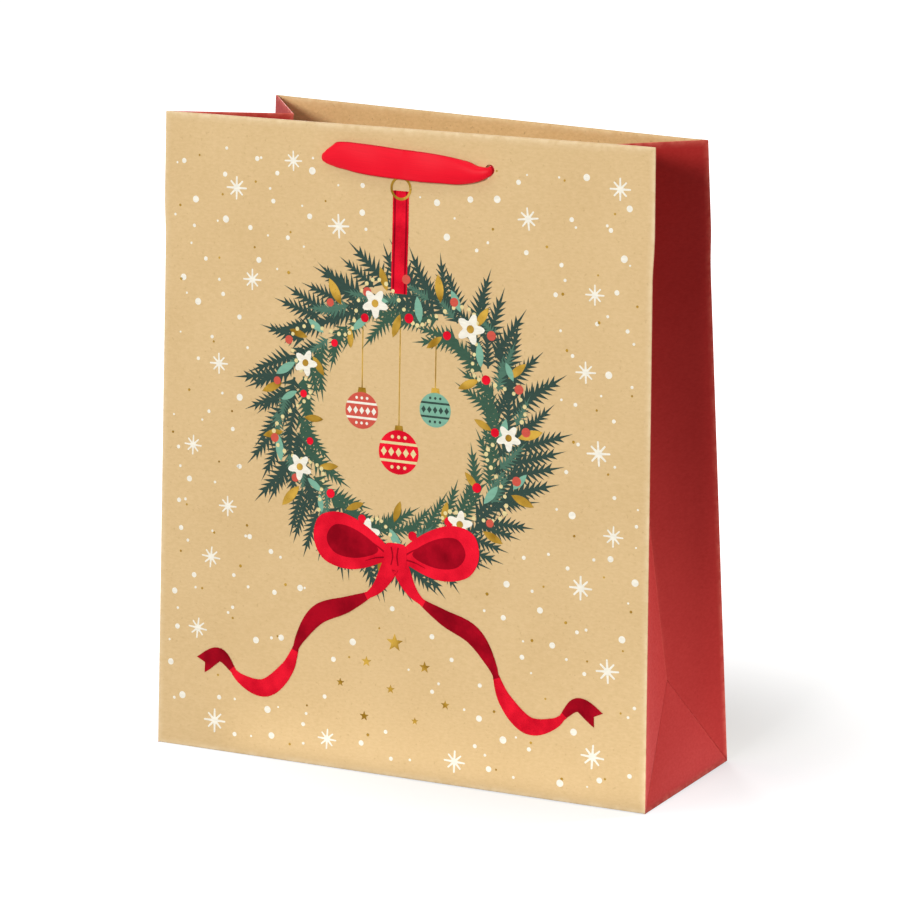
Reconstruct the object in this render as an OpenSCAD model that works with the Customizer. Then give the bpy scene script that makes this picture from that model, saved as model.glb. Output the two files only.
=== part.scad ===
// Paper gift bag with folded gussets and satin ribbon handles.
// The origin is the middle of the base on the table, +X to the right as the
// printed front is read, +Y to the back and +Z up. Lengths are millimetres.

/* [Bag] */
// Width of the front and of the back, outside
bag_w = 260; // [210:1:320]
// Height of the walls along the paper
bag_h = 310; // [250:1:380]
// Depth of the base from front to back, outside
bag_d = 104; // [80:1:130]
// Thickness of the bag's paper
paper_t = 0.4; // [0.3:0.05:0.6]
// Gap left between two faces of the sheet at a crease
crease_gap = 0.4; // [0.3:0.05:0.8]
// Gap taken up by glue between two layers
glue_gap = 0.1; // [0.1:0.05:0.3]

/* [Mouth] */
// How far the front leans in at its left corner
front_lean_left = 10; // [-4:1:24]
// How far the front leans in at its right corner
front_lean_right = -9; // [-16:1:10]
// How far the back leans in at its left corner
back_lean_left = -10; // [-16:1:10]
// How far the back leans in at its right corner
back_lean_right = 43; // [25:1:52]
// How far the back's left corner has moved to the right
back_shift_left = 4; // [-6:1:12]
// How far the back's right corner has moved to the right
back_shift_right = -3; // [-8:1:8]
// How far the left gusset folds in at the mouth
left_fold = 38; // [24:1:44]
// How far the right gusset folds in at the mouth
right_fold = 36; // [28:1:46]
// How far the top of each gusset's foot leans in
foot_lean = 12; // [6:0.5:20]

/* [Turned edge] */
// Height of the edge that is turned down inside the mouth
hem_h = 40; // [32:1:60]
// Distance from the turned edge's ends to the corner folds
hem_inset = 7; // [5:0.5:12]
// Thickness of the card inside the turned edge
card_t = 1; // [0.6:0.1:1.4]
// Height of the card inside the turned edge
card_h = 36; // [28:1:50]
// Width of the strip that closes the sheet at the rear left corner
seam_w = 18; // [12:1:26]
// Distance from that strip to the corner fold
seam_inset = 3; // [2:0.5:6]

/* [Base] */
// How far the two long base flaps lap over each other
base_lap = 24; // [12:1:40]
// How far the side flaps reach in past the ends of the long flaps
side_flap_reach = 12; // [6:1:20]
// Length over which the lapped flap steps up
lap_step = 3; // [2:0.5:6]
// Thickness of the loose board on the base
board_t = 1.2; // [0.8:0.1:2]
// Gap round the board
board_clearance = 2; // [1.5:0.5:5]
// Corner radius of the board
board_corner_r = 3; // [1:0.5:8]

/* [Handles] */
// Diameter of the punched holes
hole_d = 5; // [4.5:0.5:9]
// Distance between the two holes of one handle
hole_span = 86; // [60:1:120]
// How far the pair of holes sits to the right of the panel's middle, seen from outside
hole_shift = 3; // [-6:0.5:6]
// Distance from the top edge down to the holes
hole_drop = 16; // [14:0.5:24]
// Width of the ribbon
ribbon_w = 15; // [10:0.5:20]
// Thickness of the ribbon
ribbon_t = 0.6; // [0.4:0.1:1]
// How far the ribbon's middle stands off the paper
ribbon_bulge = 3; // [1:0.5:6]
// Gap between the ribbon and the paper behind it
ribbon_clearance = 0.5; // [0.4:0.1:1]
// Width of the ribbon where it is gathered into a hole
gather_d = 4; // [3:0.2:4.4]
// How far inside the bag the ribbon's ends hang from the turned edge
tail_standoff = 6.5; // [5.5:0.5:9]
// Length of the ribbon that hangs inside, down to the knot
tail_drop = 86; // [50:1:110]
// Diameter of each knot
knot_d = 9; // [7:0.5:11]
// Height of each knot
knot_h = 8; // [6:0.5:10]
// Length of the cut end below each knot
tag_len = 14; // [6:1:24]

/* [Hidden] */

$fn = 32;
kraft_print = [0.87, 0.75, 0.55];
kraft_inside = [0.72, 0.57, 0.37];
red_print = [0.68, 0.12, 0.12];
grey_card = [0.62, 0.6, 0.56];
satin_red = [0.93, 0.08, 0.15];

// Flat faces of the sheet are divided into this many strips each way, and the twisted gussets into more
face_strips = 8;
gusset_strips = 14;
// The walls start this far above the table, and the base carries the bag
wall_lift = 0.2;

// Corners of the base, and how far each has moved at the mouth
half_w = bag_w / 2;
half_d = bag_d / 2;
base_fl = [-half_w, -half_d, 0];
base_fr = [half_w, -half_d, 0];
base_br = [half_w, half_d, 0];
base_bl = [-half_w, half_d, 0];

// A wall's top corner, at the paper's own height along the slanted edge
function top_corner(base, dx, dy) = base + [dx, dy, sqrt(bag_h * bag_h - dx * dx - dy * dy)];
top_fl = top_corner(base_fl, 0, front_lean_left);
top_fr = top_corner(base_fr, 0, front_lean_right);
top_br = top_corner(base_br, back_shift_right, -back_lean_right);
top_bl = top_corner(base_bl, back_shift_left, -back_lean_left);

// Top of a gusset's foot, where its three folds meet
foot_rise = sqrt(half_d * half_d - foot_lean * foot_lean);
left_apex = [-half_w + foot_lean, 0, foot_rise];
right_apex = [half_w - foot_lean, 0, foot_rise];

// Top of a gusset's middle fold, square to the line between its two corners: as the fold leans in,
// its top drops below the corners, because the paper's length above the foot stays the same
function fold_top(front, back, fold, apex) =
    let(
        side = back - front,
        inward = [side[1], -side[0], 0] / norm([side[0], side[1]]),
        top = (front + back) / 2 + fold * inward,
        lean = [top[0] - apex[0], top[1] - apex[1]]
    ) [top[0], top[1], apex[2] + sqrt(pow(bag_h - half_d, 2) - lean * lean)];
left_fold_top = fold_top(top_fl, top_bl, left_fold, left_apex);
right_fold_top = fold_top(top_fr, top_br, -right_fold, right_apex);

// Outer faces of the sheet, each by its corners seen from outside, low edge first
front_face = [base_fl, base_fr, top_fr, top_fl];
back_face = [base_br, base_bl, top_bl, top_br];
right_front_face = [base_fr, right_apex, right_fold_top, top_fr];
right_rear_face = [right_apex, base_br, top_br, right_fold_top];
left_front_face = [left_apex, base_fl, top_fl, left_fold_top];
left_rear_face = [base_bl, left_apex, left_fold_top, top_bl];

// Point of a face at share u across and v up
function face_at(face, u, v) =
    (1 - v) * ((1 - u) * face[0] + u * face[1]) + v * ((1 - u) * face[3] + u * face[2]);
// Outward direction of a face there
function face_out(face, u, v) =
    let(
        across = (1 - v) * (face[1] - face[0]) + v * (face[2] - face[3]),
        up = (1 - u) * (face[3] - face[0]) + u * (face[2] - face[1]),
        out = cross(across, up)
    ) out / norm(out);
// Point at a depth below the face
function face_under(face, u, v, depth) = face_at(face, u, v) - depth * face_out(face, u, v);
// Shares at a face's two sides that lie a length below its top edge
function below_top(face, length) =
    [1 - length / norm(face[3] - face[0]), 1 - length / norm(face[2] - face[1])];
// Share of a face's top edge that a length takes up
function across_share(face, length) = length / norm(face[2] - face[3]);

// Where a gusset's layer has to start to clear the panel that it is folded from
function corner_inset(panel_edge, gusset_edge, depth) =
    let(turn = acos(panel_edge * gusset_edge / (norm(panel_edge) * norm(gusset_edge))))
    (paper_t + crease_gap + depth * cos(turn)) / sin(turn);

// Depths of the layers of a turned edge below the panel's outer face
card_depth = paper_t + glue_gap;
hem_depth = card_depth + card_t + glue_gap;
stack_depth = hem_depth + paper_t;

// Levels of the layers of the base above the table
lap_level = paper_t + glue_gap;
side_flap_level = lap_level + paper_t + glue_gap;
board_level = side_flap_level + paper_t + glue_gap;
wall_gap = paper_t + crease_gap;

// Heights on a panel as shares of its height
hole_v = 1 - hole_drop / bag_h;
low_v = wall_lift / bag_h;
// The two holes as shares of a panel's width
hole_middle = 0.5 + hole_shift / bag_w;
hole_shares = [for (side = [-1, 1]) hole_middle + side * hole_span / 2 / bag_w];

// A layer of a face, from a depth to that depth plus its thickness: it lies between two shares u,
// and between a low and a high edge that are each given by their shares v at the face's two sides
module layer(face, u_range, low, high, depth, t, strips = face_strips) {
    row = strips + 1;
    side_count = row * row;
    function share(range, s) = range[0] + (range[1] - range[0]) * s;
    function face_point(s, h, d) =
        let(u = share(u_range, s))
        face_under(face, u, share([share(low, u), share(high, u)], h), d);
    function face_points(d) = [for (j = [0:strips], i = [0:strips]) face_point(i / strips, j / strips, d)];
    function at(i, j) = j * row + i;
    cells = [
        for (j = [0:strips - 1], i = [0:strips - 1]) [at(i, j), at(i + 1, j), at(i + 1, j + 1), at(i, j + 1)]
    ];
    outside = [for (c = cells, k = [0, 1]) k == 0 ? [c[0], c[2], c[1]] : [c[0], c[3], c[2]]];
    inside = [for (f = outside) [for (k = [2, 1, 0]) f[k] + side_count]];
    rim = concat(
        [for (i = [0:strips - 1]) at(i, 0)],
        [for (j = [0:strips - 1]) at(strips, j)],
        [for (i = [strips:-1:1]) at(i, strips)],
        [for (j = [strips:-1:1]) at(0, j)]
    );
    edges = [
        for (k = [0:len(rim) - 1], half = [0, 1])
            let(a = rim[k], b = rim[(k + 1) % len(rim)])
            half == 0 ? [a, b, b + side_count] : [a, b + side_count, a + side_count]
    ];
    polyhedron(concat(face_points(depth), face_points(depth + t)), concat(outside, inside, edges));
}

// A panel's hole pair, through everything within reach of the hole's axis
module hole_pair(face) {
    reach = 2 * stack_depth;
    for (u = hole_shares) {
        out = face_out(face, u, hole_v);
        translate(face_at(face, u, hole_v) - reach * out)
            rotate([0, acos(out[2]), atan2(out[1], out[0])])
                cylinder(h = 2 * reach, d = hole_d);
    }
}

// A whole wall of the sheet with its punched holes
module panel(face) {
    difference() {
        layer(face, [0, 1], [low_v, low_v], [1, 1], 0, paper_t);
        hole_pair(face);
    }
}

// A layer inside the turned edge, punched with the panel
module punched_strip(face, height, depth, t) {
    inset = across_share(face, hem_inset);
    difference() {
        layer(face, [inset, 1 - inset], below_top(face, height), [1, 1], depth, t);
        hole_pair(face);
    }
}

// One half of a gusset above its low edge: flip is true where its face starts at the middle fold
module gusset_half(face, panel_edge, flip, low, depth) {
    gusset_edge = flip ? face[3] - face[2] : face[2] - face[3];
    corner = across_share(face, corner_inset(panel_edge, gusset_edge, depth + paper_t));
    middle = across_share(face, crease_gap);
    range = flip ? [middle, 1 - corner] : [corner, 1 - middle];
    layer(face, range, low, [1, 1], depth, paper_t, gusset_strips);
}

// The edge that is turned down inside one half of a gusset
module gusset_hem(face, panel_edge, flip) {
    gusset_half(face, panel_edge, flip, below_top(face, hem_h), card_depth);
}

// The panel's top edge, looked along from the corner that a gusset shares with it
front_from_right = top_fl - top_fr;
front_from_left = top_fr - top_fl;
back_from_right = top_bl - top_br;
back_from_left = top_br - top_bl;
// A gusset half starts this share above the fold of its foot
foot_v = crease_gap / (bag_h - half_d);
foot_edge = [foot_v, foot_v];

// The triangle at a gusset's foot, drawn in from its folds by the crease gap
module gusset_foot(a, b, c) {
    sides = [norm(b - c), norm(c - a), norm(a - b)];
    perimeter = sides[0] + sides[1] + sides[2];
    middle = (sides[0] * a + sides[1] * b + sides[2] * c) / perimeter;
    normal = cross(b - a, c - a);
    inner_r = norm(normal) / perimeter;
    share = 1 - 2 * crease_gap / inner_r;
    outer = [for (p = [a, b, c]) middle + share * (p - middle)];
    inner = [for (p = outer) p - paper_t * normal / norm(normal)];
    polyhedron(
        concat(outer, inner),
        [[0, 2, 1], [3, 4, 5], [0, 1, 4], [0, 4, 3], [1, 2, 5], [1, 5, 4], [2, 0, 3], [2, 3, 5]]
    );
}

// Plan of a long base flap, mitred from the front corners to its lapped edge
module long_flap_plan() {
    front = half_d - wall_gap;
    reach = base_lap / 2;
    half_front = half_w - wall_gap;
    half_lap = half_front - front - reach;
    polygon([[-half_front, -front], [half_front, -front], [half_lap, reach], [-half_lap, reach]]);
}

// The long flap's section across the bag, which steps up over the other flap
module lapped_section() {
    front = -half_d;
    step = -base_lap / 2 - crease_gap;
    low = [[front, 0], [step - lap_step, 0], [step, lap_level], [half_d, lap_level]];
    polygon(concat(low, [for (i = [3:-1:0]) low[i] + [0, paper_t]]));
}

// Plan of a side flap under the board: cut back at its inner corners
module side_flap_plan() {
    outer = half_w - wall_gap;
    inner = half_w - half_d - side_flap_reach;
    half_wide = half_d - wall_gap;
    cut = side_flap_reach;
    polygon([
        [outer, -half_wide], [outer, half_wide], [inner + cut, half_wide],
        [inner, half_wide - cut], [inner, cut - half_wide], [inner + cut, -half_wide]
    ]);
}

module board_plan() {
    x = half_w - paper_t - board_clearance - board_corner_r;
    y = half_d - paper_t - board_clearance - board_corner_r;
    square([2 * x + 2 * board_corner_r, 2 * y], center = true);
    square([2 * x, 2 * y + 2 * board_corner_r], center = true);
    for (sx = [-1, 1], sy = [-1, 1]) translate([sx * x, sy * y]) circle(board_corner_r);
}

// The stretch of ribbon that lies outside between the two holes
ribbon_strips = 20;
// Share of the ribbon at each end over which it is gathered
gather_share = 0.16;
module ribbon_run(face) {
    overrun = gather_d / 2;
    span = (hole_span + 2 * overrun) / bag_w;
    function width(s) = gather_d + (ribbon_w - gather_d) * sin(90 * min(1, min(s, 1 - s) / gather_share));
    function station(i) =
        let(
            s = i / ribbon_strips,
            u = hole_middle + (s - 0.5) * span,
            v = width(s) / 2 / bag_h,
            near = ribbon_clearance + ribbon_bulge * sin(180 * s)
        ) [
            face_under(face, u, hole_v - v, -near),
            face_under(face, u, hole_v + v, -near),
            face_under(face, u, hole_v + v, -near - ribbon_t),
            face_under(face, u, hole_v - v, -near - ribbon_t)
        ];
    tube([for (i = [0:ribbon_strips]) station(i)]);
}

// A closed solid through rings of equally many points, which turn left as seen from the far end
module tube(rings) {
    sides = len(rings[0]);
    last = (len(rings) - 1) * sides;
    walls = [
        for (r = [0:len(rings) - 2], k = [0:sides - 1], half = [0, 1])
            let(a = r * sides + k, b = r * sides + (k + 1) % sides)
            half == 0 ? [a, b, b + sides] : [a, b + sides, a + sides]
    ];
    first_cap = [for (k = [1:sides - 2]) [0, k + 1, k]];
    last_cap = [for (k = [1:sides - 2]) [last, last + k, last + k + 1]];
    polyhedron([for (ring = rings, p = ring) p], concat(walls, first_cap, last_cap));
}

// One end of the ribbon: gathered through its hole, then spread and hanging down inside
tail_sides = 10;
tail_bend_r = 4;
tail_spread = 24;
module tail(face, u) {
    mouth = face_at(face, u, hole_v);
    // Direction into the bag along Y
    inward = face_out(face, u, hole_v)[1] < 0 ? 1 : -1;
    straight = stack_depth + tail_standoff - tail_bend_r;
    drop = tail_drop - tail_bend_r;
    // Share of the full width by distance below the bend, gathered again at the knot
    function spread(d) = sin(90 * max(0, min(1, d / tail_spread, (drop - d) / tail_spread)));
    function ring(y, z, tilt, flat) =
        let(
            wide = gather_d / 2 + flat * (ribbon_w - gather_d) / 2,
            thick = gather_d / 2 - flat * (gather_d - 2 * ribbon_t) / 2
        ) [
            for (k = [0:tail_sides - 1])
                let(turn = inward * 360 * k / tail_sides, across = thick * sin(turn))
                mouth + [wide * cos(turn), inward * (y + across * sin(tilt)), z + across * cos(tilt)]
        ];
    rings = concat(
        [for (y = [0, straight]) ring(y, 0, 0, 0)],
        [for (a = [22.5, 45, 67.5]) ring(straight + tail_bend_r * sin(a), tail_bend_r * (cos(a) - 1), a, 0)],
        [
            for (i = [0:12])
                let(d = drop * i / 12)
                ring(straight + tail_bend_r, -tail_bend_r - d, 90, spread(d))
        ]
    );
    tube(rings);
}

// A knot on the end of a tail, with the cut end below it
module knot(face, u) {
    mouth = face_at(face, u, hole_v);
    inward = face_out(face, u, hole_v)[1] < 0 ? 1 : -1;
    tag_w = ribbon_w / 2;
    translate(mouth + [0, inward * (stack_depth + tail_standoff), -tail_drop - ribbon_clearance]) {
        rotate_extrude() intersection() {
            translate([0, -knot_h]) square([knot_d / 2, knot_h]);
            translate([knot_d / 2 - knot_h / 2, -knot_h / 2]) circle(knot_h / 2);
        }
        translate([0, 0, -knot_h]) cylinder(h = knot_h, d = knot_d - knot_h);
        translate([-tag_w / 2, -ribbon_t, -knot_h - tag_len])
            cube([tag_w, 2 * ribbon_t, tag_len + knot_h / 2]);
    }
}

// Walls
module front_panel() { color(kraft_print) panel(front_face); }
module back_panel() { color(kraft_print) panel(back_face); }
module left_gusset_front() {
    color(red_print) gusset_half(left_front_face, front_from_left, true, foot_edge, 0);
}
module left_gusset_rear() {
    color(red_print) gusset_half(left_rear_face, back_from_left, false, foot_edge, 0);
}
module left_gusset_foot() { color(red_print) gusset_foot(base_bl, base_fl, left_apex); }
module right_gusset_front() {
    color(red_print) gusset_half(right_front_face, front_from_right, false, foot_edge, 0);
}
module right_gusset_rear() {
    color(red_print) gusset_half(right_rear_face, back_from_right, true, foot_edge, 0);
}
module right_gusset_foot() { color(red_print) gusset_foot(base_fr, base_br, right_apex); }

// Turned edge of the mouth, with its card
module front_top_card() { color(grey_card) punched_strip(front_face, card_h, card_depth, card_t); }
module back_top_card() { color(grey_card) punched_strip(back_face, card_h, card_depth, card_t); }
module front_hem() { color(kraft_inside) punched_strip(front_face, hem_h, hem_depth, paper_t); }
module back_hem() { color(kraft_inside) punched_strip(back_face, hem_h, hem_depth, paper_t); }
module left_hem_front() { color(kraft_inside) gusset_hem(left_front_face, front_from_left, true); }
module left_hem_rear() { color(kraft_inside) gusset_hem(left_rear_face, back_from_left, false); }
module right_hem_front() { color(kraft_inside) gusset_hem(right_front_face, front_from_right, false); }
module right_hem_rear() { color(kraft_inside) gusset_hem(right_rear_face, back_from_right, true); }
module side_seam_flap() {
    inset = across_share(back_face, seam_inset);
    strip = across_share(back_face, seam_w);
    bottom = (board_level + board_t) / bag_h;
    top = below_top(back_face, hem_h + crease_gap);
    color(kraft_inside)
        layer(back_face, [1 - inset - strip, 1 - inset], [bottom, bottom], top, card_depth, paper_t);
}

// Base
module base_front_flap() { color(kraft_print) linear_extrude(paper_t) long_flap_plan(); }
module base_rear_flap() {
    color(kraft_print) rotate([0, 0, 180]) intersection() {
        linear_extrude(2 * lap_level) long_flap_plan();
        rotate([90, 0, 90]) linear_extrude(bag_w, center = true) lapped_section();
    }
}
module right_base_flap() {
    color(red_print) translate([0, 0, side_flap_level]) linear_extrude(paper_t) side_flap_plan();
}
module left_base_flap() { color(red_print) mirror([1, 0, 0]) right_base_flap(); }
module base_board() { color(grey_card) translate([0, 0, board_level]) linear_extrude(board_t) board_plan(); }

// Handles
module front_ribbon() { color(satin_red) ribbon_run(front_face); }
module back_ribbon() { color(satin_red) ribbon_run(back_face); }
module front_ribbon_tails() { color(satin_red) for (u = hole_shares) tail(front_face, u); }
module back_ribbon_tails() { color(satin_red) for (u = hole_shares) tail(back_face, u); }
module front_knots() { color(satin_red) for (u = hole_shares) knot(front_face, u); }
module back_knots() { color(satin_red) for (u = hole_shares) knot(back_face, u); }

front_panel();
back_panel();
left_gusset_front();
left_gusset_rear();
left_gusset_foot();
right_gusset_front();
right_gusset_rear();
right_gusset_foot();
front_top_card();
back_top_card();
front_hem();
back_hem();
left_hem_front();
left_hem_rear();
right_hem_front();
right_hem_rear();
side_seam_flap();
base_front_flap();
base_rear_flap();
left_base_flap();
right_base_flap();
base_board();
front_ribbon();
back_ribbon();
front_ribbon_tails();
back_ribbon_tails();
front_knots();
back_knots();
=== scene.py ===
# Paper gift bag with folded gussets, printed walls and satin ribbon handles.
# Lengths are metres in the part's own frame: +X right as the front is read, +Y back, +Z up.
import math

import bmesh
import bpy
import numpy as np
from mathutils import Matrix, Vector


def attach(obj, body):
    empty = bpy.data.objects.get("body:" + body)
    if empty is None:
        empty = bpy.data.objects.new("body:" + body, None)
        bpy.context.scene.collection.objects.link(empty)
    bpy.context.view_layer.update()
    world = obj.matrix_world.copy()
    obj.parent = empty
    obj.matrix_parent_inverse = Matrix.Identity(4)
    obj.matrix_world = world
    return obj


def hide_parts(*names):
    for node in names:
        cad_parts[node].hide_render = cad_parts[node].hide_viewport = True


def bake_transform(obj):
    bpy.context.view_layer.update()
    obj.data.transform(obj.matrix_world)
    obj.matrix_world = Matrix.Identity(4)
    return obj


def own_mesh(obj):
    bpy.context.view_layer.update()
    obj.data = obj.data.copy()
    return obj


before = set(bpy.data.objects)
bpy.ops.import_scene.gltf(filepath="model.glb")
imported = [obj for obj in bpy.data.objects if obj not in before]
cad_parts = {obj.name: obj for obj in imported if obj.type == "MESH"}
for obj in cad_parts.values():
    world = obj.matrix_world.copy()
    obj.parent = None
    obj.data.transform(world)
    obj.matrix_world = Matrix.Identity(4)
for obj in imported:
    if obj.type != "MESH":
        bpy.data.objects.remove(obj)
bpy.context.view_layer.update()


# Studio
# A long lens looks slightly down on the bag's right front corner, and a white table carries the bag. A soft lamp
# stands low in front, weak ones lift the mouth, the back and the right side, and the table glows by the bag's foot.
lens_px, picture_px, camera_distance = 3657.1, 900, 1.7621
yaw, pitch, roll = (math.radians(a) for a in (25.521, 10.858, 0.934))
aim = Vector((0.00209, 0, 0.15045))
back = Vector((math.sin(yaw) * math.cos(pitch), -math.cos(yaw) * math.cos(pitch), math.sin(pitch)))
level_right = Vector((math.cos(yaw), math.sin(yaw), 0))
level_up = back.cross(level_right)
right = math.cos(roll) * level_right + math.sin(roll) * level_up
up = math.cos(roll) * level_up - math.sin(roll) * level_right


def put_in_scene(name, data):
    obj = bpy.data.objects.new(name, data)
    bpy.context.scene.collection.objects.link(obj)
    return obj


camera = put_in_scene("camera", bpy.data.cameras.new("camera"))
camera.data.sensor_width = 36
camera.data.lens = lens_px / picture_px * camera.data.sensor_width
camera.data.clip_end = 100
camera.matrix_world = (Matrix.Translation(aim + back * camera_distance)
                       @ Matrix((right, up, back)).transposed().to_4x4())
bpy.context.scene.camera = camera
bpy.context.scene.view_settings.view_transform = "Standard"


def add(tree, kind, inputs=(), **settings):
    """A node with its settings made, and its inputs linked or set."""
    node = tree.nodes.new(kind)
    for key, value in settings.items():
        setattr(node, key, value)
    for key, value in dict(inputs).items():
        if isinstance(value, bpy.types.NodeSocket):
            tree.links.new(value, node.inputs[key])
        else:
            node.inputs[key].default_value = value
    return node


def maths(tree, operation, *values):
    return add(tree, "ShaderNodeMath", dict(enumerate(values)), operation=operation).outputs[0]


def vectors(tree, operation, *values):
    """The result of a sum on vectors: a number for a length or a distance."""
    outputs = add(tree, "ShaderNodeVectorMath", dict(enumerate(values)), operation=operation).outputs
    return outputs["Value" if operation in ("LENGTH", "DISTANCE") else "Vector"]


def remap(tree, value, low, high, to_low=0.0, to_high=1.0):
    return add(tree, "ShaderNodeMapRange", {"Value": value, "From Min": low, "From Max": high,
                                            "To Min": to_low, "To Max": to_high}).outputs[0]


def object_place(tree):
    return add(tree, "ShaderNodeTexCoord").outputs["Object"]


def cleared_tree(owner):
    owner.use_nodes = True
    owner.node_tree.nodes.clear()
    return owner.node_tree


def shown_rays(tree):
    """1 for rays that show a surface itself, from the camera or in gloss."""
    path = add(tree, "ShaderNodeLightPath").outputs
    return maths(tree, "MAXIMUM", path["Is Camera Ray"], path["Is Glossy Ray"])


ambient = 0.20
bpy.context.scene.world = bpy.data.worlds.new("studio")
tree = cleared_tree(bpy.context.scene.world)
soft_light, white = (add(tree, "ShaderNodeBackground", {"Color": (1, 1, 1, 1), "Strength": strength}).outputs[0]
                     for strength in (ambient, 1.0))
seen = add(tree, "ShaderNodeMixShader", {0: shown_rays(tree), 1: soft_light, 2: white})
add(tree, "ShaderNodeOutputWorld", {"Surface": seen.outputs[0]})

# The table gives back little light. It shows the bag's shadows by the foot, darkened further by a painted shadow: its
# glow is least near a point behind the foot, and turns white with the distance from there.
table_reach, table_drop = 40.0, 0.0003
bounced, shown = 0.30, 0.42
painted_shadow_middle, painted_shadow_near, painted_shadow_far, glow_at_painted_shadow = (0.045, 0.10, 0), 0.045, 0.285, 0.33
corners = ((-1, -1), (1, -1), (1, 1), (-1, 1))
table_mesh = bpy.data.meshes.new("table")
table_mesh.from_pydata([(x * table_reach, y * table_reach, -table_drop) for x, y in corners], [], [(0, 1, 2, 3)])
table = put_in_scene("table", table_mesh)
table_white = bpy.data.materials.new("table_white")
tree = cleared_tree(table_white)
bounce, shade = (add(tree, "ShaderNodeBsdfDiffuse", {"Color": (tone, tone, tone, 1)}).outputs[0]
                 for tone in (bounced, shown))
# Painted shadow: the glow is dimmed near a point behind the bag, so the table is darker there under any lamp
away = vectors(tree, "DISTANCE", object_place(tree), painted_shadow_middle)
glow = add(tree, "ShaderNodeEmission", {"Color": (1, 1, 1, 1),
                                        "Strength": remap(tree, away, painted_shadow_near, painted_shadow_far, glow_at_painted_shadow)})
pale = add(tree, "ShaderNodeAddShader", {0: shade, 1: glow.outputs[0]})
seen = add(tree, "ShaderNodeMixShader", {0: shown_rays(tree), 1: bounce, 2: pale.outputs[0]})
add(tree, "ShaderNodeOutputMaterial", {"Surface": seen.outputs[0]})
table_mesh.materials.append(table_white)

for name, shape, size, power, place, target in (
        ("key", "DISK", (1.0, 1.0), 165, (0.085, -4.85, 1.38), (0, -0.03, 0.17)),
        ("top", "DISK", (1.2, 1.2), 12, (-0.75, -0.9, 2.2), (0, 0, 0.2)),
        ("rear", "DISK", (1.0, 1.0), 45, (-1.8, 2.5, 1.5), (0, 0, 0.15)),
        ("table_glow", "RECTANGLE", (0.22, 0.22), 0.17, (0.242, 0, 0.001), (0.242, 0, 1.0)),
        ("side", "DISK", (0.8, 0.8), 32, (1.27, 1.43, 1.31), (0.12, 0, 0.1)),
        ("front_glow", "RECTANGLE", (0.21, 0.04), 0.019, (0.015, -0.078, 0.001), (0.015, -0.078, 1.0))):
    lamp = put_in_scene(name, bpy.data.lights.new(name, "AREA"))
    lamp.data.shape, lamp.data.energy = shape, power
    lamp.data.size, lamp.data.size_y = size
    lamp.location = place
    lamp.rotation_mode = "QUATERNION"
    lamp.rotation_quaternion = (Vector(target) - Vector(place)).to_track_quat("-Z", "Y")
    lamp.visible_camera = False


# Front and back walls
# Two faces of the folded sheet: brown kraft, printed outside. Each is rounded into the gussets at its
# side folds, into the base at its foot, and over the strip of card at the mouth. Two holes are punched.
bag_w, bag_h, bag_d = 0.260, 0.310, 0.104
paper_t = 0.0004
fold_r, crease_r, foot_r, foot_lift = 0.0005, 0.00015, 0.0006, 0.00005
stack_r, single_r = 0.0010, 0.00045
flare, left_slack = 0.0009, 0.0012
hole_d, hole_span, hole_shift, hole_drop = 0.005, 0.086, 0.003, 0.016
hole_v = 1 - hole_drop / bag_h
straight_band, flare_band, corner_band = (0.78, 0.865), (0.80, 0.87), (0.0032, 0.0068)
gusset_end = 0.999
half_w, half_d = bag_w / 2, bag_d / 2


def top_corner(base, dx, dy):
    return base + np.array([dx, dy, math.sqrt(bag_h ** 2 - dx ** 2 - dy ** 2)])


base_fl, base_fr, base_br, base_bl = (np.array([x * half_w, y * half_d, 0.0]) for x, y in corners)
top_fl, top_fr = top_corner(base_fl, 0, 0.010), top_corner(base_fr, 0, -0.009)
top_br, top_bl = top_corner(base_br, -0.003, -0.043), top_corner(base_bl, 0.004, 0.010)
foot_lean = 0.012
foot_rise = math.sqrt(half_d ** 2 - foot_lean ** 2)
left_apex = np.array([foot_lean - half_w, 0, foot_rise])
right_apex = np.array([half_w - foot_lean, 0, foot_rise])


def fold_top(front, rear, fold, apex):
    """Top of a gusset's middle fold, dropped as the paper above the foot leans in."""
    side = rear - front
    top = (front + rear) / 2 + fold * np.array([side[1], -side[0], 0]) / math.hypot(side[0], side[1])
    lean = np.hypot(*(top - apex)[:2])
    return np.array([top[0], top[1], apex[2] + math.sqrt((bag_h - half_d) ** 2 - lean ** 2)])


left_fold_top = fold_top(top_fl, top_bl, 0.038, left_apex)
right_fold_top = fold_top(top_fr, top_br, -0.036, right_apex)
mountain, valley = (fold_r, 1), (crease_r, -1)
# Each face by its corners seen from outside, then its two side folds: the face beyond, that face's side, the fold
walls = {
    "front": ((base_fl, base_fr, top_fr, top_fl), ("left_front", 1, mountain), ("right_front", 0, mountain)),
    "back": ((base_br, base_bl, top_bl, top_br), ("right_rear", 1, mountain), ("left_rear", 0, mountain)),
    "right_front": ((base_fr, right_apex, right_fold_top, top_fr), ("front", 1, mountain), ("right_rear", 0, valley)),
    "right_rear": ((right_apex, base_br, top_br, right_fold_top), ("right_front", 1, valley), ("back", 0, mountain)),
    "left_front": ((left_apex, base_fl, top_fl, left_fold_top), ("left_rear", 1, valley), ("front", 0, mountain)),
    "left_rear": ((base_bl, left_apex, left_fold_top, top_bl), ("back", 1, mountain), ("left_front", 0, valley)),
}
# How far slack paper stands out of a face, and how its fullness lies across and up
bellies = {"front": (0.0011, 0.8, 0.85), "back": (0.0016, 0.8, 0.9)}
gusset_belly = (-0.0012, 1.0, 0.7)


def unit(v):
    return v / np.linalg.norm(v, axis=-1, keepdims=True)


def ease(x, low, high):
    t = np.clip((x - low) / (high - low), 0, 1)
    return t * t * (3 - 2 * t)


def belly(wall, u, v):
    """How far the paper stands out of the flat face. The band that is stiffened at the mouth is straight."""
    height, across, upward = bellies.get(wall, gusset_belly)
    full = height * np.sin(np.pi * u) ** across * np.sin(np.pi * v ** upward)
    return full * (1 - ease(v, *straight_band))


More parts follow.
